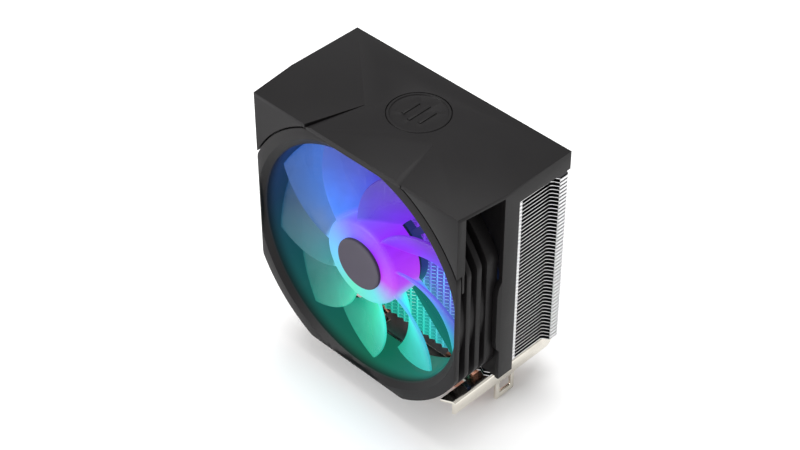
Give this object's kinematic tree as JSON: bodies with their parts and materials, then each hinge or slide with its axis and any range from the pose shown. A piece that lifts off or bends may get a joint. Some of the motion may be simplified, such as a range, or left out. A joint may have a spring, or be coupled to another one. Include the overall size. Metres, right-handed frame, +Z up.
{
  "type": "cpu tower cooler",
  "caption": "Tower heat-sink cooler: shrouded, lit axial fan on an aluminium fin stack with copper heat pipes, contact base and hooked side brackets.",
  "frame": {"origin": "centre of the flat contact face under the base", "axes": "+Z up from the contact face through the fins; air flows along +Y, in through the fan at -Y; +X to the right seen from the fan"},
  "size_m": [0.1258, 0.076, 0.1369],
  "materials": {
    "black_plastic": "satin moulded",
    "cap_plastic": "matt",
    "frosted_plastic": "frosted, lit from the hub",
    "aluminium": "bare rolled sheet",
    "copper": "drawn copper tube",
    "nickel": "nickel-plated sheet",
    "steel": "plain",
    "magnet": "bonded magnet",
    "bronze": "sintered",
    "winding": "enamelled wire",
    "board_green": "solder mask",
    "lamp_white": "clear lens"
  },
  "bodies": {
    "tower": {"fin_stack": "aluminium", "heat_pipe_1": "copper", "heat_pipe_2": "copper", "heat_pipe_3": "copper", "heat_pipe_4": "copper", "base_block": "aluminium", "bracket_left": "nickel", "bracket_right": "nickel", "bracket_screw_1": "steel", "bracket_screw_2": "steel", "bracket_screw_3": "steel", "bracket_screw_4": "steel"},
    "fan_module": {"shroud": "black_plastic", "badge": "black_plastic", "fan_frame": "black_plastic", "bearing_sleeve": "bronze", "stator_core": "steel", "coil_1": "winding", "coil_2": "winding", "coil_3": "winding", "coil_4": "winding", "circuit_board": "board_green", "lamp_1": "lamp_white", "lamp_2": "lamp_white", "lamp_3": "lamp_white", "lamp_4": "lamp_white", "lamp_5": "lamp_white", "lamp_6": "lamp_white"},
    "rotor": {"impeller": "frosted_plastic", "hub_cap": "cap_plastic", "motor_yoke": "steel", "magnet_ring": "magnet", "shaft": "steel", "retaining_ring": "steel"}
  },
  "joints": [
    {"name": "fan_module_slide", "type": "slide", "parent": "tower", "child": "fan_module", "axis": [0, -1, 0], "range_m": [0, 0.04]},
    {"name": "rotor_spin", "type": "hinge", "parent": "fan_module", "child": "rotor", "pos_m": [0, -0.0325, 0.0745], "axis": [0, -1, 0], "continuous": true}
  ]
}
